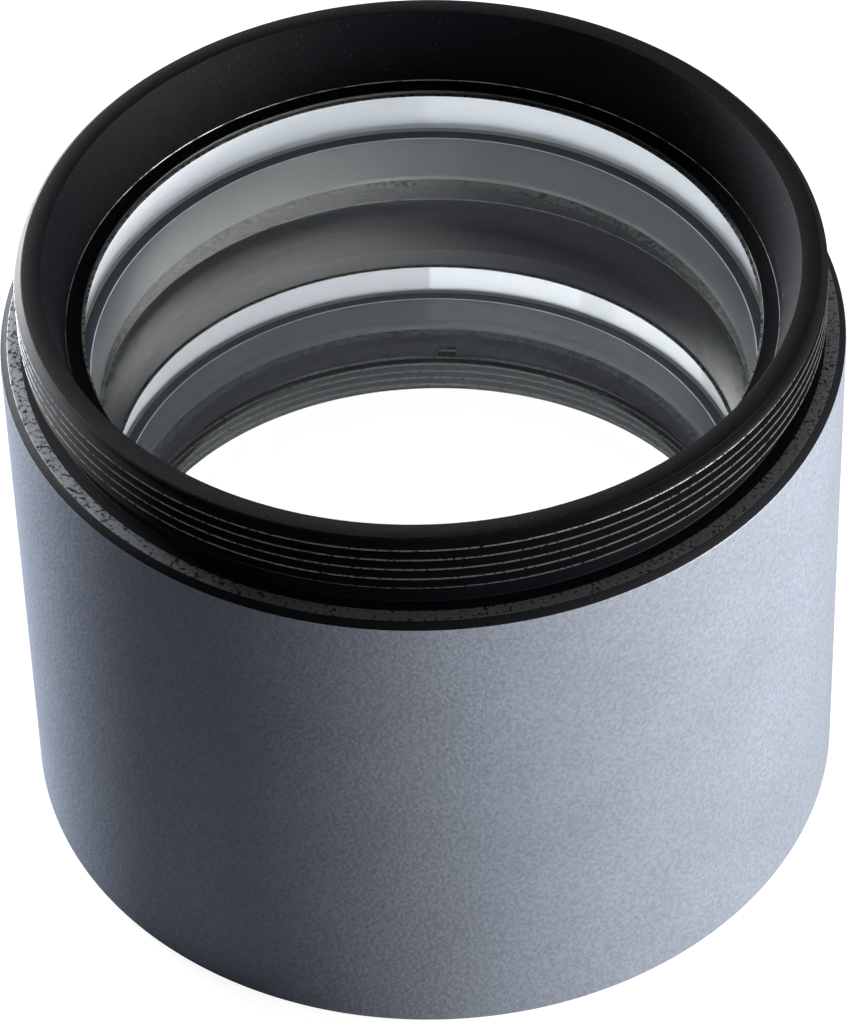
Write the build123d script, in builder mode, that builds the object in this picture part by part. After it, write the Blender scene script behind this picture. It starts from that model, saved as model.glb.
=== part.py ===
from build123d import *
import os
from math import radians, sqrt, tan

# Auxiliary objective for a stereo microscope, in millimetres, standing on its front end.
# The optical axis is +Z, and the origin is the centre of the front rim.
# A turned barrel takes the whole stack from its front: upper lens, two spacer rings, lower lens
# and slip ring, clamped against a lip by a retaining ring in the barrel's front thread.

# Mounting thread on the neck
mount_thread_diameter = 48.0
mount_thread_pitch = 0.75
neck_height = 5.35
relief_height = 1.35
relief_depth = 0.80
thread_lead_in = 0.48
thread_run_out = 0.60
groove_overcut = 0.06

# Barrel
shoulder_width = 1.20
shoulder_chamfer = 0.43
front_edge_chamfer = 0.30
front_bevel = 2.15

# Recess above the upper lens
rim_width = 1.60
recess_taper = 1.20
recess_depth = 4.55
lip_width = 0.95
lip_thickness = 0.35

# Lenses
seat_width = 0.75
ground_overlap = 0.15
edge_bevel = 0.20
upper_lens_edge = 6.40
upper_lens_top_radius = 315.0
upper_lens_bottom_radius = 315.0
lower_lens_edge = 6.60
lower_lens_top_radius = 320.0
lower_lens_bottom_radius = 450.0

# Rings between and under the lenses
upper_spacer_height = 4.20
lower_spacer_height = 5.40
spacer_bevel_height = 1.00
spacer_bevel_width = 0.30
ring_edge_chamfer = 0.10
slip_ring_height = 2.20

# Retaining ring and its thread in the front of the barrel
retaining_ring_height = 3.85
front_thread_pitch = 0.75
front_recess = 6.45
front_relief_height = 1.00
front_relief_below = 0.10
notch_width = 1.25
notch_depth = 1.20
notch_count = 2
notch_angle = 85.3

# Depth of a metric thread as a share of its pitch, outside and inside
outer_depth_share = 0.6134
inner_depth_share = 0.5413
groove_width_share = 0.875
flank_slope = tan(radians(30))

# Clearances, measured on the radius
lens_clearance = 0.03
spacer_clearance = 0.05
entry_clearance = 0.064
ring_clearance = 0.03

# Radii, from the mounting thread inwards and outwards
mount_thread_radius = mount_thread_diameter / 2
thread_chamfer = outer_depth_share * mount_thread_pitch
relief_radius = mount_thread_radius - relief_depth
barrel_radius = mount_thread_radius + shoulder_width
mouth_radius = mount_thread_radius - rim_width
recess_radius = mouth_radius - recess_taper
clear_radius = recess_radius - lip_width
lens_radius = clear_radius + seat_width
polished_radius = clear_radius - ground_overlap
bore_radius = lens_radius + lens_clearance
spacer_radius = bore_radius - spacer_clearance
front_thread_depth = inner_depth_share * front_thread_pitch
front_crest_radius = bore_radius + entry_clearance
front_root_radius = front_crest_radius + front_thread_depth
retaining_ring_radius = front_crest_radius - ring_clearance
front_mouth_radius = front_crest_radius + front_bevel

# Half widths of the mounting thread's groove, at its root and past its crests
groove_root = groove_width_share * mount_thread_pitch / 2 - thread_chamfer * flank_slope
groove_mouth = groove_width_share * mount_thread_pitch / 2 + groove_overcut * flank_slope

# Heights, up the stack from the front rim
ring_bottom = front_recess
ring_top = ring_bottom + retaining_ring_height
slip_ring_top = ring_top + slip_ring_height
lower_lens_top = slip_ring_top + lower_lens_edge
spacer_joint = lower_lens_top + lower_spacer_height
upper_lens_bottom = spacer_joint + upper_spacer_height
upper_lens_top = upper_lens_bottom + upper_lens_edge
lip_top = upper_lens_top + lip_thickness
overall_height = lip_top + recess_depth
shoulder_height = overall_height - neck_height
thread_start = shoulder_height + relief_height
groove_start = thread_start - thread_lead_in
front_relief_bottom = ring_top - front_relief_below
front_relief_top = front_relief_bottom + front_relief_height


def sag(surface_radius, reach):
    """Depth of a spherical surface at a distance from the axis."""
    return surface_radius - sqrt(surface_radius**2 - reach**2)


def polished_face(edge_height, surface_radius, lift):
    """Half section of a polished face, from its rim to the axis. It rises towards the axis by lift = 1."""
    half_reach = polished_radius / 2
    apex = edge_height + lift * sag(surface_radius, polished_radius)
    middle = apex - lift * sag(surface_radius, half_reach)
    ThreePointArc((polished_radius, edge_height), (half_reach, middle), (0, apex))
    return apex


def ground_edge(bottom, top):
    """Half section of the ground rim: bottom land, bevel, edge, bevel and top land."""
    Polyline(
        (polished_radius, bottom),
        (lens_radius - edge_bevel, bottom),
        (lens_radius, bottom + edge_bevel),
        (lens_radius, top - edge_bevel),
        (lens_radius - edge_bevel, top),
        (polished_radius, top),
    )


# Barrel, its black neck and its bore: one turned piece
with BuildPart() as barrel:
    with BuildSketch(Plane.XZ):
        with BuildLine():
            Polyline(
                (0, 0),
                (barrel_radius - front_edge_chamfer, 0),
                (barrel_radius, front_edge_chamfer),
                (barrel_radius, shoulder_height - shoulder_chamfer),
                (barrel_radius - shoulder_chamfer, shoulder_height),
                (relief_radius, shoulder_height),
                (relief_radius, thread_start),
                (mount_thread_radius - thread_chamfer, thread_start),
                (mount_thread_radius, thread_start + thread_chamfer),
                (mount_thread_radius, overall_height - thread_chamfer),
                (mount_thread_radius - thread_chamfer, overall_height),
                (0, overall_height),
                close=True,
            )
        make_face()
    revolve(axis=Axis.Z)
    with BuildSketch(Plane.XZ):
        with BuildLine():
            Polyline(
                (0, 0),
                (front_mouth_radius, 0),
                (front_crest_radius, front_bevel),
                (front_crest_radius, front_relief_bottom),
                (front_root_radius, front_relief_bottom),
                (front_root_radius, front_relief_top),
                (bore_radius, front_relief_top),
                (bore_radius, upper_lens_top),
                (clear_radius, upper_lens_top),
                (clear_radius, lip_top),
                (recess_radius, lip_top),
                (mouth_radius, overall_height),
                (0, overall_height),
                close=True,
            )
        make_face()
    revolve(axis=Axis.Z, mode=Mode.SUBTRACT)
    # Mounting thread: one V groove up a right-handed helix, from the relief out through the top rim
    with BuildLine() as groove_path:
        Helix(
            pitch=mount_thread_pitch,
            height=overall_height + thread_run_out - groove_start,
            radius=mount_thread_radius,
            center=(0, 0, groove_start),
        )
    helix = groove_path.line
    with BuildSketch(Plane(origin=helix @ 0, x_dir=(1, 0, 0), z_dir=helix % 0)):
        with BuildLine():
            Polyline(
                (-thread_chamfer, -groove_root),
                (groove_overcut, -groove_mouth),
                (groove_overcut, groove_mouth),
                (-thread_chamfer, groove_root),
                close=True,
            )
        make_face()
    sweep(path=helix, is_frenet=True, mode=Mode.SUBTRACT)

# Upper lens: both faces hollow, thickest at its ground edge
with BuildPart() as upper_lens:
    with BuildSketch(Plane.XZ):
        with BuildLine():
            bottom_apex = polished_face(upper_lens_bottom, upper_lens_bottom_radius, 1)
            top_apex = polished_face(upper_lens_top, upper_lens_top_radius, -1)
            ground_edge(upper_lens_bottom, upper_lens_top)
            Line((0, bottom_apex), (0, top_apex))
        make_face()
    revolve(axis=Axis.Z)

# Lower lens: a meniscus, domed above and hollow below
with BuildPart() as lower_lens:
    with BuildSketch(Plane.XZ):
        with BuildLine():
            bottom_apex = polished_face(slip_ring_top, lower_lens_bottom_radius, 1)
            top_apex = polished_face(lower_lens_top, lower_lens_top_radius, 1)
            ground_edge(slip_ring_top, lower_lens_top)
            Line((0, bottom_apex), (0, top_apex))
        make_face()
    revolve(axis=Axis.Z)

# Upper spacer ring, from the joint line to the upper lens
with BuildPart() as upper_spacer_ring:
    with BuildSketch(Plane.XY.offset(spacer_joint)):
        Circle(spacer_radius)
        Circle(clear_radius, mode=Mode.SUBTRACT)
    extrude(amount=upper_spacer_height)
    joint_edges = upper_spacer_ring.edges().filter_by(GeomType.CIRCLE).group_by(Axis.Z)[0]
    chamfer(joint_edges.sort_by(SortBy.RADIUS)[0], length=ring_edge_chamfer)

# Lower spacer ring, whose inner top edge has a long bevel that shows as lighter lines
with BuildPart() as lower_spacer_ring:
    with BuildSketch(Plane.XY.offset(lower_lens_top)):
        Circle(spacer_radius)
        Circle(clear_radius, mode=Mode.SUBTRACT)
    extrude(amount=lower_spacer_height)
    with BuildSketch(Plane.XZ):
        with BuildLine():
            Polyline(
                (clear_radius - spacer_bevel_width, spacer_joint),
                (clear_radius + spacer_bevel_width, spacer_joint),
                (clear_radius, spacer_joint - spacer_bevel_height),
                (clear_radius - spacer_bevel_width, spacer_joint - spacer_bevel_height),
                close=True,
            )
        make_face()
    revolve(axis=Axis.Z, mode=Mode.SUBTRACT)

# Slip ring, which keeps the retaining ring from turning on the glass
with BuildPart() as slip_ring:
    with BuildSketch(Plane.XY.offset(ring_top)):
        Circle(spacer_radius)
        Circle(clear_radius, mode=Mode.SUBTRACT)
    extrude(amount=slip_ring_height)
    chamfer(slip_ring.edges().filter_by(GeomType.CIRCLE).group_by(Axis.Z)[0], length=ring_edge_chamfer)

# Retaining ring, with its spanner notches in the front face
with BuildPart() as retaining_ring:
    with BuildSketch(Plane.XY.offset(ring_bottom)):
        Circle(retaining_ring_radius)
        Circle(clear_radius, mode=Mode.SUBTRACT)
    extrude(amount=retaining_ring_height)
    chamfer(retaining_ring.edges().filter_by(GeomType.CIRCLE), length=ring_edge_chamfer)
    with BuildSketch(Plane.XY.offset(ring_bottom)):
        with PolarLocations((clear_radius + retaining_ring_radius) / 2, notch_count, start_angle=notch_angle):
            Rectangle(2 * (retaining_ring_radius - clear_radius), notch_width)
    extrude(amount=notch_depth, mode=Mode.SUBTRACT)

barrel.part.label = "barrel"
upper_lens.part.label = "upper_lens"
upper_spacer_ring.part.label = "upper_spacer_ring"
lower_spacer_ring.part.label = "lower_spacer_ring"
lower_lens.part.label = "lower_lens"
slip_ring.part.label = "slip_ring"
retaining_ring.part.label = "retaining_ring"

os.makedirs("parts", exist_ok=True)
export_step(barrel.part, "parts/barrel.step")
export_step(upper_lens.part, "parts/upper_lens.step")
export_step(upper_spacer_ring.part, "parts/upper_spacer_ring.step")
export_step(lower_spacer_ring.part, "parts/lower_spacer_ring.step")
export_step(lower_lens.part, "parts/lower_lens.step")
export_step(slip_ring.part, "parts/slip_ring.step")
export_step(retaining_ring.part, "parts/retaining_ring.step")
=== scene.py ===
"""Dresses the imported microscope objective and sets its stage.

The barrel, the glass and the rings are turned, threaded and finished here around the fixed frame.
Lengths are metres, +Z is the optical axis, and the front rim stands on the floor at z = 0.
"""
import math

import bpy
from mathutils import Matrix, Vector


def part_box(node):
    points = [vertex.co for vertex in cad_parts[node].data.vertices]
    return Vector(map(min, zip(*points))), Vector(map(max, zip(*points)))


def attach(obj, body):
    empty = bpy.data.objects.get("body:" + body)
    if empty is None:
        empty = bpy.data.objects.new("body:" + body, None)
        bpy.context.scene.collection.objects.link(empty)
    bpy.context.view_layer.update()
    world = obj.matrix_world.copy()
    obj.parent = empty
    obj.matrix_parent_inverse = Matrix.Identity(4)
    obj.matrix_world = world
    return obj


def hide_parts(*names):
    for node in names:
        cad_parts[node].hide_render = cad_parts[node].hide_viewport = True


bl_info = {
    "name": "Microscope Objective",
    "version": (1, 0, 0),
    "blender": (4, 5, 0),
    "location": "View3D > Sidebar > Objective",
    "description": "Models the threads, paint, anodised rings and lenses of a screw-on microscope objective",
    "category": "Add Mesh",
}

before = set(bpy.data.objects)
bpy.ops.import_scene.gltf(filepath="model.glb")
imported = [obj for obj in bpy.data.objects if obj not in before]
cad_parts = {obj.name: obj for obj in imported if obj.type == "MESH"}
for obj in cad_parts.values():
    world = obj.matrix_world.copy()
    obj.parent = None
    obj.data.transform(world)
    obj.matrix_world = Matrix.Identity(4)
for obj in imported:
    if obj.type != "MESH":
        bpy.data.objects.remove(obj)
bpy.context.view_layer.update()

MM = 0.001
BODY = "root"

# Faces round the axis, the same for every turned piece and every thread cutter, so that their edges line up
SEGMENTS = 256
# What two neighbours in the stack leave between their drawn faces, so that no two faces lie in one plane
FACE_GAP = 0.01 * MM
MERGE_DISTANCE = 0.0005 * MM
# Slack when the place of a face is tested against a size
TEST_SLACK = 0.02 * MM

# Both threads are set by a crest that the photo shows: the outer one in front, the inner one behind
FRONT = math.radians(-90)
BACK = math.radians(90)
OUTER_CREST = 37.96 * MM
INNER_CREST = 4.84 * MM
OUTER_TURNS = 6
INNER_TURNS = 12
RING_TURNS = 8
# How far a thread cutter stands proud of the crests
CUTTER_PROUD = 0.3 * MM


def top(node):
    """Highest point of a CAD node."""
    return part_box(node)[1].z


def bottom(node):
    """Lowest point of a CAD node."""
    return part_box(node)[0].z


def reach(node):
    """Outer radius of a CAD node, which is round about the axis."""
    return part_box(node)[1].x


def linear(hex_colour):
    """An sRGB hex colour as linear red, green and blue."""
    values = [int(hex_colour[i:i + 2], 16) / 255 for i in (1, 3, 5)]
    return tuple(v / 12.92 if v <= 0.04045 else ((v + 0.055) / 1.055) ** 2.4 for v in values)


def length(label, note, default):
    """A size that a user can change, in metres."""
    return bpy.props.FloatProperty(
        name=label, description=note, default=default, min=0.0, precision=5,
        unit="LENGTH", subtype="DISTANCE",
    )


def colour(label, note, hex_colour):
    """A colour that a user can change."""
    return bpy.props.FloatVectorProperty(
        name=label, description=note, default=linear(hex_colour), min=0.0, max=1.0, size=3,
        subtype="COLOR",
    )


def share(label, note, default):
    """A share from 0 to 1 that a user can change."""
    return bpy.props.FloatProperty(
        name=label, description=note, default=default, min=0.0, max=1.0, subtype="FACTOR"
    )


def angle(label, note, degrees):
    """An angle that a user can change."""
    return bpy.props.FloatProperty(
        name=label, description=note, default=math.radians(degrees), unit="ROTATION", subtype="ANGLE"
    )


def power(label, note, watts):
    """A lamp's power that a user can change."""
    return bpy.props.FloatProperty(name=label, description=note, default=watts, unit="POWER")


class ObjectiveBarrelSizes(bpy.types.PropertyGroup):
    """Sizes of the turned barrel."""

    radius: length("Barrel radius", "Radius of the painted barrel", reach("barrel"))
    height: length("Height", "From the front rim to the top of the neck", top("barrel"))
    neck_height: length("Neck height", "From the shoulder to the top of the neck", 5.35 * MM)
    thread_radius: length("Thread radius", "Crest radius of the mounting thread", 24.0 * MM)
    thread_pitch: length("Thread pitch", "Pitch of both threads", 0.75 * MM)
    thread_depth: length("Thread depth", "Depth of the mounting thread", 0.46 * MM)
    relief_height: length("Relief height", "Height of the groove between shoulder and thread", 1.35 * MM)
    relief_depth: length("Relief depth", "Depth of that groove below the crests", 0.80 * MM)
    shoulder_chamfer: length("Shoulder chamfer", "Chamfer between the paint and the shoulder", 0.43 * MM)
    front_chamfer: length("Front chamfer", "Chamfer round the edge the barrel stands on", 0.30 * MM)
    mouth_radius: length("Mouth radius", "Radius of the opening in the top rim", 22.4 * MM)
    foot_radius: length("Foot radius", "Radius at the foot of the cone above the upper lens", 21.2 * MM)
    lip_thickness: length("Lip thickness", "Thickness of the lip over the upper lens", 0.35 * MM)
    bore_radius: length("Bore radius", "Radius of the bore that holds the lenses", 21.03 * MM)
    front_crest_radius: length("Front thread crest", "Crest radius of the front thread", 21.094 * MM)
    front_root_radius: length("Front thread root", "Root radius of the front thread", 21.5 * MM)
    front_relief_low: length("Front relief, low", "Where the groove over the front thread starts", 10.2 * MM)
    front_relief_high: length("Front relief, high", "Where the groove over the front thread ends", 11.2 * MM)
    front_bevel: length("Front bevel", "Height and width of the front opening's bevel", 2.15 * MM)
    edge_break: length("Edge break", "Width of the rounding on every turned edge", 0.05 * MM)
    # Width of the bright line along a sharp edge: bare aluminium, partly rubbed wear and partly a painted
    # highlight
    highlight_width: length("Edge line", "Width of the line rubbed bright along a sharp edge", 0.06 * MM)


class ObjectiveOpticSizes(bpy.types.PropertyGroup):
    """Sizes of the lenses and rings."""

    clear_radius: length("Clear radius", "Inner radius of every ring", 20.25 * MM)
    polished_radius: length("Polished radius", "Where a polished face meets its ground edge", 20.1 * MM)
    edge_bevel: length("Edge bevel", "Ground bevel between a lens's edge and its seats", 0.20 * MM)
    seat_edge: length("Seat edge", "Bright line where a seat meets the polished face", 0.08 * MM)
    upper_curve: length("Upper lens curve", "Radius of both faces of the upper lens", 315.0 * MM)
    lower_top_curve: length("Lower lens, top curve", "Radius of its domed face", 320.0 * MM)
    lower_bottom_curve: length("Lower lens, bottom curve", "Radius of its hollow face", 450.0 * MM)
    joint_bevel_height: length("Joint bevel height", "Height of the bevel at the spacers' joint", 1.0 * MM)
    joint_bevel_width: length("Joint bevel width", "Width of that bevel", 0.30 * MM)
    ring_chamfer: length("Ring chamfer", "Chamfer on the rings' edges", 0.10 * MM)
    ring_crest_radius: length("Ring crest radius", "Crest radius of the retaining ring's thread", 21.45 * MM)
    notch_width: length("Notch width", "Width of each spanner notch", 1.25 * MM)
    notch_depth: length("Notch depth", "Depth of each spanner notch", 1.20 * MM)
    notch_turn: angle("Notch angle", "Where the first notch lies round the axis", 85.3)


class ObjectiveFinishes(bpy.types.PropertyGroup):
    """Colours and grain of the finishes."""

    enamel: colour("Enamel", "Colour of the baked enamel on the barrel", "#8A92A1")
    # Darker colour at the low points of the bumps: painted shade in the pits
    enamel_pit_shade: colour("Enamel pits", "Colour in the pits of the enamel's grain", "#7A8291")
    grain: length("Enamel grain", "Size of one bump of the orange peel", 0.27 * MM)
    anodised: colour("Anodised black", "Dyed anodised aluminium", "#04060B")
    anodised_grey: colour("Anodised ring", "Dyed anodised aluminium of the rings inside", "#12141B")
    # Also the colour of the edge lines that are painted bright as highlights
    bare: colour("Bare aluminium", "Where the crests of the thread have worn through", "#85888B")
    ground: colour("Ground glass", "Fine-ground edge of a lens", "#E6EAF2")
    ground_bevel: colour("Ground bevel", "Bevel between a lens's edge and its seat", "#8F938C")
    ground_seat: colour("Ground seat", "Ground land where a lens sits on a black ring", "#3A3F46")
    # Sets both the crests' wear and how much of each edge line is painted bright as a highlight
    scuff_and_highlight: share("Crest wear", "How much of the mounting thread's crests has worn bright", 0.8)


class ObjectiveStage(bpy.types.PropertyGroup):
    """Camera, floor and light."""

    lens_mm: bpy.props.FloatProperty(
        name="Camera lens", description="Focal length on a 36 mm sensor", default=194.23,
        unit="CAMERA", subtype="DISTANCE_CAMERA",
    )
    camera_back: length("Camera back", "How far the camera stands in front of the axis", 241.39 * MM)
    camera_height: length("Camera height", "How high the camera stands above the floor", 258.43 * MM)
    camera_tilt: angle("Camera tilt", "How far the camera looks up from straight down", 45.18493)
    camera_roll: angle("Camera roll", "How far the camera leans to a side", 1.26679)
    camera_pan: angle("Camera pan", "How far the camera turns to a side", -1.20935)
    floor_size: length("Floor size", "Side of the floor", 6.0)
    floor_colour: colour("Floor", "Matt table top, which the camera sees lit up to white", "#7E8084")
    floor_glow: share("Floor glow", "How bright the camera sees the floor", 0.92)
    glass_glow: bpy.props.FloatProperty(
        name="Glow through glass", description="How bright the floor is through the lenses", default=1.5
    )
    key_power: power("Key light", "Power of the softbox low at the right", 6.0)
    rim_power: power("Rim light", "Power of the softbox behind at the left", 8.0)
    table_power: power("Light table", "Power of the lit disc under the front opening", 0.032)


# Modelling, as by hand


def deselect_all():
    """Leaves nothing selected, since each new primitive is selected all over."""
    if bpy.context.mode != "OBJECT":
        bpy.ops.object.mode_set(mode="OBJECT")
    bpy.ops.object.select_all(action="DESELECT")


def pick(piece):
    """Selects this piece alone and makes it active."""
    deselect_all()
    piece.select_set(True)
    bpy.context.view_layer.objects.active = piece


def draw_section(name, points, closed=True):
    """A half section in the XZ plane, drawn vertex by vertex from (radius, height) points.

    Edit mode stays on.
    """
    deselect_all()
    bpy.ops.mesh.primitive_plane_add(size=MM)
    piece = bpy.context.active_object
    piece.name = piece.data.name = name
    bpy.ops.object.mode_set(mode="EDIT")
    bpy.ops.mesh.select_all(action="SELECT")
    bpy.ops.mesh.merge(type="CENTER")
    bpy.ops.transform.translate(value=(points[0][0], 0, points[0][1]))
    path = list(points[1:]) + ([points[0]] if closed else [])
    last = points[0]
    for point in path:
        step = (point[0] - last[0], 0, point[1] - last[1])
        bpy.ops.mesh.extrude_vertices_move(TRANSFORM_OT_translate={"value": step})
        last = point
    bpy.ops.mesh.select_all(action="SELECT")
    bpy.ops.mesh.remove_doubles(threshold=MERGE_DISTANCE)
    return piece


def turn_piece(name, points, closed=True):
    """A piece turned on the lathe: its half section spun once round the axis."""
    piece = draw_section(name, points, closed)
    bpy.ops.mesh.select_all(action="SELECT")
    bpy.ops.mesh.spin(steps=SEGMENTS, angle=2 * math.pi, center=(0, 0, 0), axis=(0, 0, 1))
    bpy.ops.mesh.select_all(action="SELECT")
    bpy.ops.mesh.remove_doubles(threshold=MERGE_DISTANCE)
    bpy.ops.mesh.normals_make_consistent(inside=False)
    bpy.ops.object.mode_set(mode="OBJECT")
    return piece


def apply_modifier(piece, kind, **settings):
    """Adds a modifier with these settings and applies it."""
    pick(piece)
    modifier = piece.modifiers.new(kind.lower(), kind)
    for key, value in settings.items():
        setattr(modifier, key, value)
    bpy.ops.object.modifier_apply(modifier=modifier.name)


def break_edges(piece, width, segments=2):
    """Rounds every turned edge a little, as a deburring tool does."""
    apply_modifier(
        piece, "BEVEL", width=width, segments=segments, limit_method="ANGLE",
        angle_limit=math.radians(25), use_clamp_overlap=True,
    )


def thread_cutter(name, groove, pitch, start, turns, phase):
    """A thread's groove as a solid: its section swept up a right-hand helix and closed at both ends."""
    points = [(radius, start + height) for radius, height in groove]
    cutter = draw_section(name, points)
    bpy.ops.mesh.edge_face_add()
    bpy.ops.mesh.select_all(action="SELECT")
    bpy.ops.transform.rotate(value=-phase, orient_axis="Z", center_override=(0, 0, 0))
    bpy.ops.object.mode_set(mode="OBJECT")
    apply_modifier(
        cutter, "SCREW", axis="Z", angle=2 * math.pi, screw_offset=pitch, iterations=turns,
        steps=SEGMENTS, render_steps=SEGMENTS, use_normal_calculate=True,
    )
    pick(cutter)
    bpy.ops.object.mode_set(mode="EDIT")
    bpy.ops.mesh.select_all(action="SELECT")
    bpy.ops.mesh.remove_doubles(threshold=MERGE_DISTANCE)
    bpy.ops.mesh.select_all(action="DESELECT")
    bpy.ops.mesh.select_non_manifold()
    bpy.ops.mesh.fill_holes(sides=0)
    bpy.ops.mesh.select_all(action="SELECT")
    bpy.ops.mesh.normals_make_consistent(inside=False)
    bpy.ops.object.mode_set(mode="OBJECT")
    return cutter


def cut_away(piece, cutter):
    """Takes the cutter's space out of the piece, and the cutter out of the scene."""
    apply_modifier(piece, "BOOLEAN", operation="DIFFERENCE", object=cutter, solver="EXACT")
    bpy.data.meshes.remove(cutter.data)
    pick(piece)
    bpy.ops.object.mode_set(mode="EDIT")
    bpy.ops.mesh.select_all(action="SELECT")
    bpy.ops.mesh.remove_doubles(threshold=MERGE_DISTANCE)
    bpy.ops.mesh.dissolve_degenerate(threshold=MERGE_DISTANCE)
    bpy.ops.mesh.normals_make_consistent(inside=False)
    bpy.ops.object.mode_set(mode="OBJECT")


def shade(piece, degrees):
    """Smooth shading up to this angle between faces."""
    pick(piece)
    bpy.ops.object.shade_smooth_by_angle(angle=math.radians(degrees))


def finish_faces(piece, finishes):
    """Gives the piece its materials. Each finish is a material and a test of a face's radius and height."""
    for material, _ in finishes:
        piece.data.materials.append(material)
    for face in piece.data.polygons:
        centre = face.center
        radius = math.hypot(centre.x, centre.y)
        for index, (_, test) in enumerate(finishes):
            if test(radius, centre.z):
                face.material_index = index
                break
        else:
            raise RuntimeError(f"{piece.name}: no finish at radius {radius:.5f}, height {centre.z:.5f}")


def hand_over(piece, node):
    """The piece moves with the objective and stands for its CAD node, which is hidden."""
    if piece.matrix_world != Matrix.Identity(4):
        raise RuntimeError(f"{piece.name} isn't at the origin")
    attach(piece, BODY)
    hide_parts(node)


# Materials


def add(tree, kind, inputs=(), **settings):
    """Adds a node with its settings. An input is a plain value or another node's output."""
    node = tree.nodes.new(kind)
    for key, value in settings.items():
        setattr(node, key, value)
    for key, value in dict(inputs).items():
        if isinstance(value, bpy.types.NodeSocket):
            tree.links.new(value, node.inputs[key])
        else:
            node.inputs[key].default_value = value
    return node


def new_material(name):
    """An empty material with its node tree and its output."""
    material = bpy.data.materials.new(name)
    material.use_nodes = True
    material.node_tree.nodes.clear()
    return material, material.node_tree, add(material.node_tree, "ShaderNodeOutputMaterial")


def rgba(rgb):
    """A colour with full alpha."""
    return (*rgb, 1.0)


def axis_distance(tree, place):
    """Distance from the optical axis."""
    flat = add(tree, "ShaderNodeVectorMath", {0: place, 1: (1, 1, 0)}, operation="MULTIPLY")
    return add(
        tree, "ShaderNodeVectorMath", {0: flat.outputs["Vector"]}, operation="LENGTH"
    ).outputs["Value"]


def turned_lines(tree, place, spacing):
    """Fine rings that a lathe tool leaves on faces and walls alike, as a height from 0 to 1."""
    radius = axis_distance(tree, place)
    height = add(tree, "ShaderNodeSeparateXYZ", {0: place}).outputs["Z"]
    along = add(tree, "ShaderNodeMath", {0: radius, 1: 0.62, 2: height}, operation="MULTIPLY_ADD")
    count = add(tree, "ShaderNodeMath", {0: along.outputs[0], 1: 1 / spacing}, operation="MULTIPLY")
    return add(
        tree, "ShaderNodeTexNoise", {"W": count.outputs[0], "Scale": 1.0, "Detail": 2.0, "Roughness": 0.6},
        noise_dimensions="1D",
    ).outputs["Fac"]


def peel_enamel(finish):
    """Baked orange-peel enamel on aluminium: satin, with bumps about a quarter of a millimetre across."""
    material, tree, output = new_material("Baked orange-peel enamel, grey")
    place = add(tree, "ShaderNodeTexCoord").outputs["Object"]
    peel = add(
        tree, "ShaderNodeTexNoise",
        {"Vector": place, "Scale": 1 / finish.grain, "Detail": 2.0, "Roughness": 0.55, "Distortion": 0.4},
    ).outputs["Fac"]
    mottle = add(
        tree, "ShaderNodeTexNoise", {"Vector": place, "Scale": 1 / (6 * MM), "Detail": 1.0}
    ).outputs["Fac"]
    # The low points of the bumps take the darker pit colour: painted shade in the pits
    depth = add(tree, "ShaderNodeMapRange", {0: peel, 1: 0.36, 2: 0.62})
    tone = add(
        tree, "ShaderNodeMix", {0: depth.outputs[0], 6: rgba(finish.enamel_pit_shade), 7: rgba(finish.enamel)},
        data_type="RGBA",
    ).outputs[2]
    cloud = add(tree, "ShaderNodeMapRange", {0: mottle, 1: 0.3, 2: 0.7, 3: 0.96, 4: 1.04})
    shade_of = add(
        tree, "ShaderNodeVectorMath", {0: tone, "Scale": cloud.outputs[0]}, operation="SCALE"
    ).outputs["Vector"]
    gloss = add(tree, "ShaderNodeMapRange", {0: peel, 1: 0.3, 2: 0.7, 3: 0.52, 4: 0.40})
    bump = add(tree, "ShaderNodeBump", {"Strength": 1.0, "Distance": 0.028 * MM, "Height": peel})
    enamel = add(
        tree, "ShaderNodeBsdfPrincipled",
        {"Base Color": shade_of, "Roughness": gloss.outputs[0], "IOR": 1.5, "Normal": bump.outputs[0]},
    )
    tree.links.new(enamel.outputs[0], output.inputs[0])
    return material


def bare_and_highlight_share(tree, place, amount, grain):
    """Where a proud edge has rubbed through its dye, and where an edge line is painted as a highlight: 1
    where it is bare, broken up by noise.
    """
    rub = add(
        tree, "ShaderNodeTexNoise", {"Vector": place, "Scale": 1 / grain, "Detail": 3.0, "Roughness": 0.7}
    ).outputs["Fac"]
    return add(
        tree, "ShaderNodeMapRange", {0: rub, 1: 0.62 - 0.3 * amount, 2: 0.74 - 0.3 * amount}
    ).outputs[0]


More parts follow.
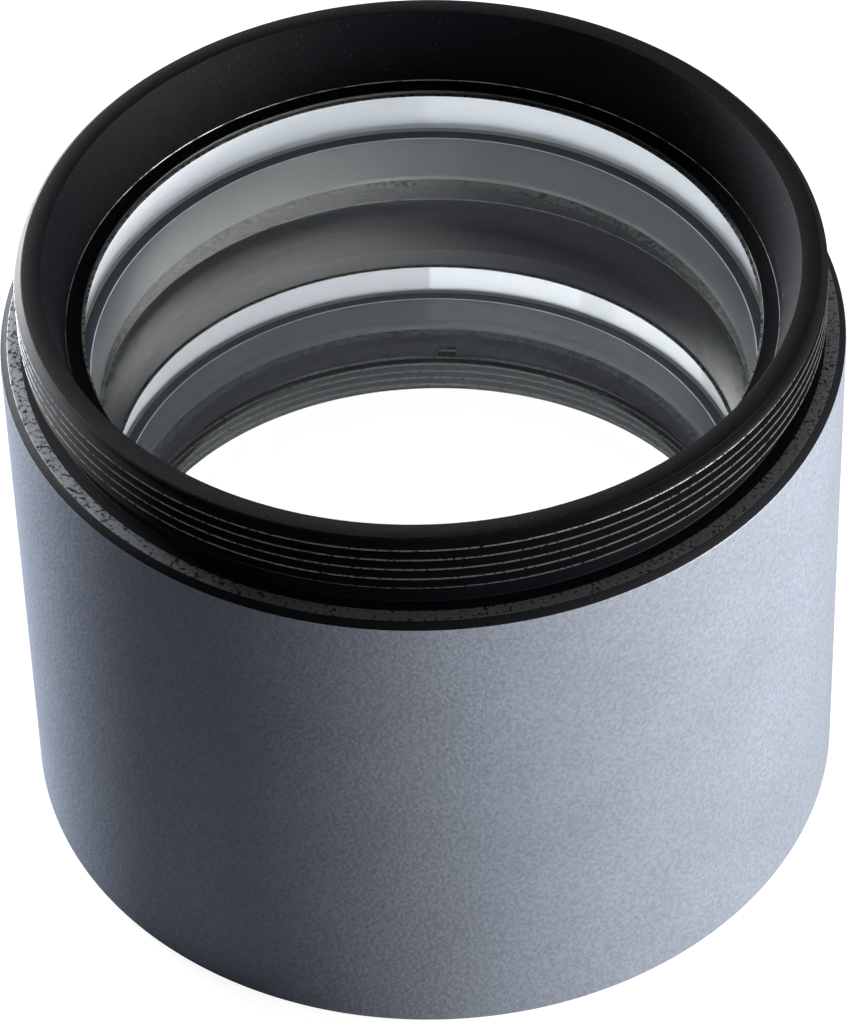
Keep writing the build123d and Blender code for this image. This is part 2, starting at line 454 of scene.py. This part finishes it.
def anodised_turned(
    finish, name, tone, roughness, shine, line_spacing, crest=None, crest_width=0.03 * MM
):
    """Black anodised aluminium as the lathe left it: fine turned rings under a deep dye.

    A thread's crests, if there are any, have worn bright. A crest_width below zero means that they
    point inwards. The rings are drawn about twice as far apart as a lathe leaves them, so that they show.
    """
    material, tree, output = new_material(name)
    place = add(tree, "ShaderNodeTexCoord").outputs["Object"]
    lines = turned_lines(tree, place, line_spacing)
    grit = add(
        tree, "ShaderNodeTexNoise",
        {"Vector": place, "Scale": 1 / (0.14 * MM), "Detail": 2.0, "Roughness": 0.7},
    ).outputs["Fac"]
    relief = add(
        tree, "ShaderNodeMath", {0: grit, 1: 0.35, 2: lines}, operation="MULTIPLY_ADD"
    ).outputs[0]
    bump = add(tree, "ShaderNodeBump", {"Strength": 0.15, "Distance": 0.0015 * MM, "Height": relief})
    gloss = add(
        tree, "ShaderNodeMapRange",
        {0: lines, 1: 0.3, 2: 0.7, 3: roughness - 0.02, 4: roughness + 0.02},
    )
    dark = tuple(0.7 * v for v in tone)
    base = add(
        tree, "ShaderNodeMix", {0: grit, 6: rgba(dark), 7: rgba(tone)}, data_type="RGBA"
    ).outputs[2]
    inputs = {
        "Roughness": gloss.outputs[0], "Normal": bump.outputs[0], "IOR": 1.6, "Specular IOR Level": shine,
    }
    if crest:
        radius = axis_distance(tree, place)
        on_crest = add(
            tree, "ShaderNodeMapRange", {0: radius, 1: crest - crest_width, 2: crest - 0.3 * crest_width}
        ).outputs[0]
        rubbed = bare_and_highlight_share(tree, place, finish.scuff_and_highlight, 0.25 * MM)
        worn = add(tree, "ShaderNodeMath", {0: on_crest, 1: rubbed}, operation="MULTIPLY").outputs[0]
        base = add(
            tree, "ShaderNodeMix", {0: worn, 6: base, 7: rgba(finish.bare)}, data_type="RGBA"
        ).outputs[2]
        inputs["Metallic"] = worn
    inputs["Base Color"] = base
    metal = add(tree, "ShaderNodeBsdfPrincipled", inputs)
    tree.links.new(metal.outputs[0], output.inputs[0])
    return material


def painted_edge_highlight(finish):
    """A sharp anodised edge drawn as bare aluminium: a thin, bright and broken line, partly rubbed wear and
    partly a painted highlight.
    """
    material, tree, output = new_material("Painted edge highlight, bare aluminium")
    place = add(tree, "ShaderNodeTexCoord").outputs["Object"]
    worn = bare_and_highlight_share(tree, place, finish.scuff_and_highlight, 1.2 * MM)
    base = add(
        tree, "ShaderNodeMix", {0: worn, 6: rgba(finish.anodised_grey), 7: rgba(finish.bare)},
        data_type="RGBA",
    ).outputs[2]
    metal = add(
        tree, "ShaderNodeBsdfPrincipled", {"Base Color": base, "Metallic": worn, "Roughness": 0.45}
    )
    tree.links.new(metal.outputs[0], output.inputs[0])
    return material


def anodised_blasted(finish, name, grit_size, speck):
    """Black anodised aluminium, bead-blasted before dyeing: dead matt, with pale specks where grit struck."""
    material, tree, output = new_material(name)
    place = add(tree, "ShaderNodeTexCoord").outputs["Object"]
    grit = add(
        tree, "ShaderNodeTexNoise",
        {"Vector": place, "Scale": 1 / grit_size, "Detail": 3.0, "Roughness": 0.75},
    ).outputs["Fac"]
    specks = add(tree, "ShaderNodeMapRange", {0: grit, 1: 0.64, 2: 0.80}).outputs[0]
    base = add(
        tree, "ShaderNodeMix", {0: specks, 6: rgba(finish.anodised), 7: rgba(linear(speck))},
        data_type="RGBA",
    ).outputs[2]
    bump = add(tree, "ShaderNodeBump", {"Strength": 0.9, "Distance": 0.03 * MM, "Height": grit})
    metal = add(
        tree, "ShaderNodeBsdfPrincipled",
        {"Base Color": base, "Roughness": 0.6, "IOR": 1.5, "Specular IOR Level": 0.08,
         "Normal": bump.outputs[0]},
    )
    tree.links.new(metal.outputs[0], output.inputs[0])
    return material


def polished_glass(name, tint, ior):
    """Polished optical glass: clear and smooth, and its faces mirror the white ground edges.

    The mirroring is twice plain glass's, since it stands for the glow inside the lens as well. Lamps
    shine through it, so that they reach the rings behind.
    """
    material, tree, output = new_material(name)
    glass = add(
        tree, "ShaderNodeBsdfPrincipled",
        {"Base Color": rgba(linear(tint)), "Roughness": 0.0, "IOR": ior, "Transmission Weight": 1.0,
         "Specular Tint": (2.0, 2.0, 2.0, 1.0)},
    )
    clear = add(tree, "ShaderNodeBsdfTransparent", {"Color": rgba(linear(tint))})
    path = add(tree, "ShaderNodeLightPath")
    mix = add(
        tree, "ShaderNodeMixShader",
        {0: path.outputs["Is Shadow Ray"], 1: glass.outputs[0], 2: clear.outputs[0]},
    )
    tree.links.new(mix.outputs[0], output.inputs[0])
    return material


def ground_glass(name, tone, chip_size=None):
    """Glass ground with fine grit and left unpolished: white in the open and dark against black.

    The chips along an edge, if it has any, are dark breaks of chip_size.
    """
    material, tree, output = new_material(name)
    place = add(tree, "ShaderNodeTexCoord").outputs["Object"]
    grit = add(
        tree, "ShaderNodeTexNoise",
        {"Vector": place, "Scale": 1 / (chip_size or 0.12 * MM), "Detail": 2.0, "Roughness": 0.7},
    ).outputs["Fac"]
    if chip_size:
        grit = add(tree, "ShaderNodeMapRange", {0: grit, 1: 0.40, 2: 0.52}).outputs[0]
    dull = tuple((0.12 if chip_size else 0.88) * v for v in tone)
    base = add(tree, "ShaderNodeMix", {0: grit, 6: rgba(dull), 7: rgba(tone)}, data_type="RGBA").outputs[2]
    bump = add(tree, "ShaderNodeBump", {"Strength": 0.3, "Distance": 0.006 * MM, "Height": grit})
    ground = add(
        tree, "ShaderNodeBsdfPrincipled",
        {"Base Color": base, "Roughness": 0.85, "IOR": 1.5, "Normal": bump.outputs[0]},
    )
    tree.links.new(ground.outputs[0], output.inputs[0])
    return material


# Shapes


def groove_outside(crest, depth, pitch, proud):
    """Section of the groove between the crests of an outside thread, 60 degrees, from its root outwards."""
    half_open = 0.4375 * pitch
    half_root = half_open - depth * math.tan(math.radians(30))
    return [
        (crest - depth, -half_root), (crest, -half_open), (crest + proud, -half_open),
        (crest + proud, half_open), (crest, half_open), (crest - depth, half_root),
    ]


def groove_inside(crest, root, pitch, proud):
    """Section of the groove between the crests of an inside thread."""
    half_open = 0.375 * pitch
    half_root = half_open - (root - crest) * math.tan(math.radians(30))
    return [
        (crest - proud, -half_open), (crest, -half_open), (root, -half_root),
        (root, half_root), (crest, half_open), (crest - proud, half_open),
    ]


def polished_curve(edge_height, curve, lift, rim, steps=24):
    """Points of a polished face from the axis to its rim. It rises towards the axis by lift = 1."""
    def sag(radius):
        return curve - math.sqrt(curve**2 - radius**2)

    points = []
    for i in range(steps + 1):
        radius = rim * i / steps
        points.append((radius, edge_height + lift * (sag(rim) - sag(radius))))
    return points


class OBJECTIVE_OT_barrel(bpy.types.Operator):
    """Turn the barrel, cut both its threads and finish it in enamel and black"""

    bl_idname = "objective.barrel"
    bl_label = "Barrel"

    def execute(self, context):
        s = context.scene.objective_barrel
        optic = context.scene.objective_optics
        finish = context.scene.objective_finishes
        shoulder = s.height - s.neck_height
        thread_start = shoulder + s.relief_height
        lens_top = top("upper_lens")
        lip_top = lens_top + s.lip_thickness
        relief = s.thread_radius - s.relief_depth
        mouth = s.front_crest_radius + s.front_bevel
        foot_slope = (s.mouth_radius - s.foot_radius) / (s.height - lip_top)
        barrel = turn_piece("threaded_barrel", [
            (mouth, 0),
            (s.radius - s.front_chamfer, 0),
            (s.radius, s.front_chamfer),
            (s.radius, shoulder - s.shoulder_chamfer),
            (s.radius - s.shoulder_chamfer, shoulder),
            (relief, shoulder),
            (relief, thread_start),
            (s.thread_radius - s.thread_depth, thread_start),
            (s.thread_radius, thread_start + s.thread_depth),
            (s.thread_radius, s.height - s.thread_depth),
            (s.thread_radius - s.thread_depth, s.height),
            (s.mouth_radius, s.height),
            (s.foot_radius + foot_slope * s.highlight_width, lip_top + s.highlight_width),
            (s.foot_radius, lip_top),
            (optic.clear_radius, lip_top),
            (optic.clear_radius, lens_top + FACE_GAP),
            (s.bore_radius, lens_top + FACE_GAP),
            (s.bore_radius, s.front_relief_high),
            (s.front_root_radius, s.front_relief_high),
            (s.front_root_radius, s.front_relief_low),
            (s.front_crest_radius, s.front_relief_low),
            (s.front_crest_radius, s.front_bevel),
        ])
        break_edges(barrel, s.edge_break)
        cut_away(barrel, thread_cutter(
            "outer groove",
            groove_outside(s.thread_radius, s.thread_depth, s.thread_pitch, CUTTER_PROUD),
            s.thread_pitch, OUTER_CREST - 2.5 * s.thread_pitch, OUTER_TURNS, FRONT,
        ))
        cut_away(barrel, thread_cutter(
            "inner groove",
            groove_inside(s.front_crest_radius, s.front_root_radius, s.thread_pitch, CUTTER_PROUD),
            s.thread_pitch, INNER_CREST - 4.5 * s.thread_pitch, INNER_TURNS, BACK,
        ))
        shade(barrel, 20)
        # Where one finish ends and the next begins
        paint_wall = s.radius - 0.35 * MM
        paint_top = shoulder - s.shoulder_chamfer + 0.03 * MM
        neck_wall = s.thread_radius - 0.35 * MM
        under_rim = s.height - 0.05 * MM
        front_wall = s.front_root_radius + 0.5 * MM

        # The band at the foot of the cone is drawn as a bright edge line: partly rubbed wear, partly a
        # painted highlight
        def foot_highlight(r, z):
            in_height = lip_top < z < lip_top + s.highlight_width
            return in_height and s.foot_radius - TEST_SLACK < r < s.mouth_radius

        def front_thread(r, z):
            return r < front_wall and s.front_bevel - 0.1 * MM < z < s.front_relief_low

        def paint(r, z):
            return r > paint_wall and z < paint_top

        def shoulder_edge(r, z):
            in_height = paint_top - 0.1 * MM < z < shoulder + 0.01 * MM
            return in_height and r > s.radius - s.shoulder_chamfer

        def neck(r, z):
            in_thread = r > relief - 0.1 * MM and z < under_rim
            return z > lip_top - TEST_SLACK and r < neck_wall and not in_thread

        def thread(r, z):
            return r > relief - 0.3 * MM and z > shoulder - 0.2 * MM

        black, grey = finish.anodised, finish.anodised_grey
        finish_faces(barrel, [
            (painted_edge_highlight(finish), foot_highlight),
            (anodised_turned(finish, "Black anodised front thread, turned", black, 0.4, 0.3, 0.2 * MM,
                             crest=s.front_crest_radius, crest_width=-0.06 * MM), front_thread),
            (peel_enamel(finish), paint),
            (anodised_blasted(finish, "Black anodised shoulder edge, rough", 0.09 * MM, "#2A2F33"),
             shoulder_edge),
            (anodised_blasted(finish, "Black anodised neck, blasted", 0.13 * MM, "#666C74"), neck),
            (anodised_turned(finish, "Black anodised thread, turned", black, 0.5, 0.08, 0.12 * MM,
                             crest=s.thread_radius), thread),
            (anodised_turned(finish, "Black anodised bore, turned", grey, 0.3, 0.6, 0.2 * MM),
             lambda r, z: True),
        ])
        hand_over(barrel, "barrel")
        return {"FINISHED"}


class OBJECTIVE_OT_lenses(bpy.types.Operator):
    """Grind and polish both lenses"""

    bl_idname = "objective.lenses"
    bl_label = "Lenses"

    def execute(self, context):
        s = context.scene.objective_optics
        finish = context.scene.objective_finishes
        ground = ground_glass("Ground glass edge", finish.ground)
        bevel = ground_glass("Ground glass bevel", finish.ground_bevel)
        seat = ground_glass("Ground glass seat on black", finish.ground_seat)
        chipped = ground_glass("Ground glass land, chipped", finish.ground_bevel, 0.35 * MM)
        lower_edge_top = bottom("lower_spacer_ring")
        lenses = (
            ("upper_lens_glass", "upper_lens", "crown_glass", "Polished crown glass", "#FDFEFE",
             bottom("upper_lens"), s.upper_curve, top("upper_lens"), s.upper_curve, -1),
            ("lower_lens_glass", "lower_lens", "flint_glass", "Polished flint glass", "#FCFDFA",
             top("slip_ring"), s.lower_bottom_curve, lower_edge_top, s.lower_top_curve, 1),
        )
        for name, node, slot, glass, tint, low, low_curve, high, high_curve, high_lift in lenses:
            radius = reach(node)
            underside = polished_curve(low, low_curve, 1, s.polished_radius)
            upside = polished_curve(high, high_curve, high_lift, s.polished_radius)
            rim = [
                (s.polished_radius + s.seat_edge, low),
                (radius - s.edge_bevel, low), (radius, low + s.edge_bevel),
                (radius, high - s.edge_bevel), (radius - s.edge_bevel, high),
            ]
            lens = turn_piece(name, underside + rim + upside[::-1], closed=False)
            shade(lens, 2.5)
            polished = s.polished_radius - 0.01 * MM
            bright_to = s.polished_radius + s.seat_edge
            finish_faces(lens, [
                (polished_glass(glass, tint, 1.52), lambda r, z: r < polished),
                (chipped, lambda r, z: z > high - 0.01 * MM),
                (ground, lambda r, z: r < bright_to or z > low + s.edge_bevel),
                (seat, lambda r, z: r < radius - s.edge_bevel),
                (bevel, lambda r, z: True),
            ])
            hand_over(lens, node)
        return {"FINISHED"}


class OBJECTIVE_OT_rings(bpy.types.Operator):
    """Turn the two spacer rings and the slip ring"""

    bl_idname = "objective.rings"
    bl_label = "Spacer and slip rings"

    def execute(self, context):
        s = context.scene.objective_optics
        finish = context.scene.objective_finishes
        satin = anodised_turned(
            finish, "Black anodised ring, satin", finish.anodised_grey, 0.24, 0.8, 0.22 * MM
        )
        edge = painted_edge_highlight(finish)
        highlight_width = context.scene.objective_barrel.highlight_width
        clear = s.clear_radius
        rings = (
            ("upper_spacer", "upper_spacer_ring", [
                (clear, bottom("upper_spacer_ring") + s.ring_chamfer + highlight_width),
                (clear, bottom("upper_spacer_ring") + s.ring_chamfer),
                (clear + s.ring_chamfer, bottom("upper_spacer_ring") + FACE_GAP),
                (reach("upper_spacer_ring"), bottom("upper_spacer_ring") + FACE_GAP),
                (reach("upper_spacer_ring"), top("upper_spacer_ring") - FACE_GAP),
                (clear, top("upper_spacer_ring") - FACE_GAP),
            ]),
            ("lower_spacer", "lower_spacer_ring", [
                (clear, bottom("lower_spacer_ring") + FACE_GAP),
                (reach("lower_spacer_ring"), bottom("lower_spacer_ring") + FACE_GAP),
                (reach("lower_spacer_ring"), top("lower_spacer_ring")),
                (clear + s.joint_bevel_width, top("lower_spacer_ring")),
                (clear, top("lower_spacer_ring") - s.joint_bevel_height),
            ]),
            ("slip_washer", "slip_ring", [
                (clear, bottom("slip_ring") + s.ring_chamfer),
                (clear + s.ring_chamfer, bottom("slip_ring") + FACE_GAP),
                (reach("slip_ring"), bottom("slip_ring") + FACE_GAP),
                (reach("slip_ring"), top("slip_ring") - FACE_GAP),
                (clear, top("slip_ring") - FACE_GAP),
            ]),
        )
        for name, node, section in rings:
            ring = turn_piece(name, section)
            break_edges(ring, 0.03 * MM)
            shade(ring, 20)
            highlight_top = bottom(node) + s.ring_chamfer + highlight_width
            # The upper spacer's lower inner chamfer is drawn as a bright edge line: partly rubbed wear,
            # partly a painted highlight
            finish_faces(ring, [
                (edge, lambda r, z: name == "upper_spacer" and z < highlight_top and r < clear + TEST_SLACK),
                (satin, lambda r, z: True),
            ])
            hand_over(ring, node)
        return {"FINISHED"}


class OBJECTIVE_OT_retaining_ring(bpy.types.Operator):
    """Turn the retaining ring, cut its thread and mill its spanner notches"""

    bl_idname = "objective.retaining_ring"
    bl_label = "Retaining ring"

    def execute(self, context):
        s = context.scene.objective_optics
        b = context.scene.objective_barrel
        finish = context.scene.objective_finishes
        low, high = bottom("retaining_ring"), top("retaining_ring")
        crest = s.ring_crest_radius
        depth = crest - b.front_crest_radius + 0.1 * MM
        c = s.ring_chamfer
        highlight_top = low + c + b.highlight_width
        ring = turn_piece("spanner_ring", [
            (s.clear_radius, highlight_top),
            (s.clear_radius, low + c), (s.clear_radius + c, low),
            (crest - depth, low), (crest, low + depth),
            (crest, high - depth), (crest - depth, high),
            (s.clear_radius + c, high), (s.clear_radius, high - c),
        ])
        break_edges(ring, 0.03 * MM)
        cut_away(ring, thread_cutter(
            "ring groove", groove_outside(crest, depth, b.thread_pitch, CUTTER_PROUD),
            b.thread_pitch, INNER_CREST + b.thread_pitch, RING_TURNS, BACK,
        ))
        for turn in (0, math.pi):
            deselect_all()
            bpy.ops.mesh.primitive_cube_add(size=1)
            mill = context.active_object
            mill.scale = (4 * MM, s.notch_width, 2 * s.notch_depth)
            angle = s.notch_turn + turn
            mill.rotation_euler.z = angle
            mill.location = (crest * math.cos(angle), crest * math.sin(angle), low)
            bpy.ops.object.transform_apply()
            cut_away(ring, mill)
        shade(ring, 20)
        satin = anodised_turned(
            finish, "Black anodised ring, turned", finish.anodised_grey, 0.24, 0.8, 0.18 * MM
        )
        # The bottom inner chamfer is drawn as a bright edge line: partly rubbed wear, partly a painted
        # highlight
        finish_faces(ring, [
            (painted_edge_highlight(finish), lambda r, z: z < highlight_top and r < s.clear_radius + TEST_SLACK),
            (satin, lambda r, z: True),
        ])
        hand_over(ring, "retaining_ring")
        return {"FINISHED"}


class OBJECTIVE_OT_stage(bpy.types.Operator):
    """Lay the pale floor, hang the soft lights and place the camera"""

    bl_idname = "objective.stage"
    bl_label = "Floor, lights and camera"

    def execute(self, context):
        s = context.scene.objective_stage
        self.lay_floor(s)
        self.hang_lights(s)
        self.surround(context, s)
        self.place_camera(context, s)
        context.scene.view_settings.view_transform = "Standard"
        return {"FINISHED"}

    def lay_floor(self, s):
        deselect_all()
        bpy.ops.mesh.primitive_plane_add(size=s.floor_size)
        floor = bpy.context.active_object
        floor.name = "floor"
        material, tree, output = new_material("Pale matt floor")
        # The camera sees the floor white, straight or through the lenses. What the rings mirror of it under
        # the front opening is painted brighter at the right: a painted pool of light that stands for the key
        # light.
        path = add(tree, "ShaderNodeLightPath")
        place = add(tree, "ShaderNodeTexCoord").outputs["Object"]
        side = add(tree, "ShaderNodeSeparateXYZ", {0: place}).outputs["X"]
        lit = add(
            tree, "ShaderNodeMapRange", {0: side, 1: -8 * MM, 2: 14 * MM, 3: 0.0, 4: 3.0}
        ).outputs[0]
        straight = add(
            tree, "ShaderNodeMath", {0: path.outputs["Glossy Depth"], 1: 0.5}, operation="LESS_THAN"
        ).outputs[0]
        through = add(
            tree, "ShaderNodeMix", {0: straight, 2: lit, 3: s.glass_glow}, data_type="FLOAT"
        ).outputs[0]
        by_glass = add(
            tree, "ShaderNodeMath", {0: path.outputs["Is Transmission Ray"], 1: through},
            operation="MULTIPLY",
        ).outputs[0]
        glow = add(
            tree, "ShaderNodeMath", {0: path.outputs["Is Camera Ray"], 1: s.floor_glow, 2: by_glass},
            operation="MULTIPLY_ADD",
        ).outputs[0]
        matt = add(
            tree, "ShaderNodeBsdfPrincipled",
            {"Base Color": rgba(s.floor_colour), "Roughness": 0.9, "Specular IOR Level": 0.2,
             "Emission Color": (1, 1, 1, 1), "Emission Strength": glow},
        )
        tree.links.new(matt.outputs[0], output.inputs[0])
        floor.data.materials.append(material)

    def hang_lights(self, s):
        # Name, power, place, size, height aimed at on the axis, colour
        lights = (
            ("key softbox", s.key_power, (0.475, -0.15, 0.09), (0.30, 0.13), 0.02, (1.0, 0.97, 0.91)),
            ("rim softbox", s.rim_power, (-0.30, 0.35, 0.10), (0.20, 0.16), 0.02, (0.96, 0.98, 1.0)),
            ("light table", s.table_power, (0, 0, 0.0006), (0.034, 0.034), 1.0, (1.0, 1.0, 1.0)),
        )
        for name, watts, place, size, aim_height, tint in lights:
            deselect_all()
            bpy.ops.object.light_add(type="AREA", location=place)
            lamp = bpy.context.active_object
            lamp.name = name
            lamp.data.shape = "RECTANGLE"
            lamp.data.size, lamp.data.size_y = size
            lamp.data.energy = watts
            aim = Vector((0, 0, aim_height)) - Vector(place)
            lamp.rotation_euler = aim.to_track_quat("-Z", "Y").to_euler()
            lamp.data.color = tint
        # The light table is round, and only its light on the lenses' edges is seen
        lamp.data.shape = "DISK"
        lamp.visible_camera = lamp.visible_glossy = lamp.visible_transmission = False

    def surround(self, context, s):
        world = bpy.data.worlds.new("White backdrop under a dark ceiling")
        context.scene.world = world
        world.use_nodes = True
        tree = world.node_tree
        tree.nodes.clear()
        output = add(tree, "ShaderNodeOutputWorld")
        direction = add(tree, "ShaderNodeTexCoord").outputs["Generated"]
        height = add(tree, "ShaderNodeSeparateXYZ", {0: direction}).outputs["Z"]
        # White walls up to about 17 degrees, dark from 33 degrees up
        wall = add(
            tree, "ShaderNodeMapRange", {0: height, 1: 0.30, 2: 0.55, 3: 1.0, 4: 0.06}
        ).outputs[0]
        path = add(tree, "ShaderNodeLightPath")
        camera_or_glass = add(
            tree, "ShaderNodeMath",
            {0: path.outputs["Is Camera Ray"], 1: path.outputs["Is Transmission Ray"]},
            operation="MAXIMUM",
        ).outputs[0]
        shown = add(
            tree, "ShaderNodeMath", {0: camera_or_glass, 1: path.outputs["Is Glossy Ray"]},
            operation="MAXIMUM",
        ).outputs[0]
        strength = add(tree, "ShaderNodeMix", {0: shown, 2: 0.03, 3: wall}, data_type="FLOAT").outputs[0]
        sky = add(tree, "ShaderNodeBackground", {"Color": (1, 1, 1, 1), "Strength": strength})
        tree.links.new(sky.outputs[0], output.inputs[0])

    def place_camera(self, context, s):
        deselect_all()
        bpy.ops.object.camera_add(
            location=(0, -s.camera_back, s.camera_height),
            rotation=(s.camera_tilt, s.camera_roll, s.camera_pan),
        )
        camera = context.active_object
        camera.name = "camera"
        camera.data.lens = s.lens_mm
        camera.data.sensor_width = 36.0
        camera.data.sensor_fit = "AUTO"
        camera.data.clip_start = 0.01
        camera.data.clip_end = 20.0
        context.scene.camera = camera


class OBJECTIVE_PT_panel(bpy.types.Panel):
    """Buttons that build the objective, and its sizes"""

    bl_label = "Microscope Objective"
    bl_idname = "OBJECTIVE_PT_panel"
    bl_space_type = "VIEW_3D"
    bl_region_type = "UI"
    bl_category = "Objective"

    def draw(self, context):
        column = self.layout.column(align=True)
        for operator in OPERATORS:
            column.operator(operator.bl_idname)
        for group, _ in GROUPS:
            settings = getattr(context.scene, group)
            box = self.layout.box()
            for name in settings.bl_rna.properties.keys():
                if name not in ("rna_type", "name"):
                    box.prop(settings, name)


OPERATORS = (
    OBJECTIVE_OT_barrel,
    OBJECTIVE_OT_lenses,
    OBJECTIVE_OT_rings,
    OBJECTIVE_OT_retaining_ring,
    OBJECTIVE_OT_stage,
)
GROUPS = (
    ("objective_barrel", ObjectiveBarrelSizes),
    ("objective_optics", ObjectiveOpticSizes),
    ("objective_finishes", ObjectiveFinishes),
    ("objective_stage", ObjectiveStage),
)


def register():
    """Adds the operators, the panel and the settings."""
    for _, group in GROUPS:
        bpy.utils.register_class(group)
    for name, group in GROUPS:
        setattr(bpy.types.Scene, name, bpy.props.PointerProperty(type=group))
    for operator in OPERATORS:
        bpy.utils.register_class(operator)
    bpy.utils.register_class(OBJECTIVE_PT_panel)


def unregister():
    """Takes them away again."""
    bpy.utils.unregister_class(OBJECTIVE_PT_panel)
    for operator in reversed(OPERATORS):
        bpy.utils.unregister_class(operator)
    for name, group in reversed(GROUPS):
        delattr(bpy.types.Scene, name)
        bpy.utils.unregister_class(group)


def main():
    """Builds the pieces in order."""
    register()
    bpy.ops.objective.barrel()
    bpy.ops.objective.lenses()
    bpy.ops.objective.rings()
    bpy.ops.objective.retaining_ring()
    bpy.ops.objective.stage()


if __name__ == "__main__":
    main()
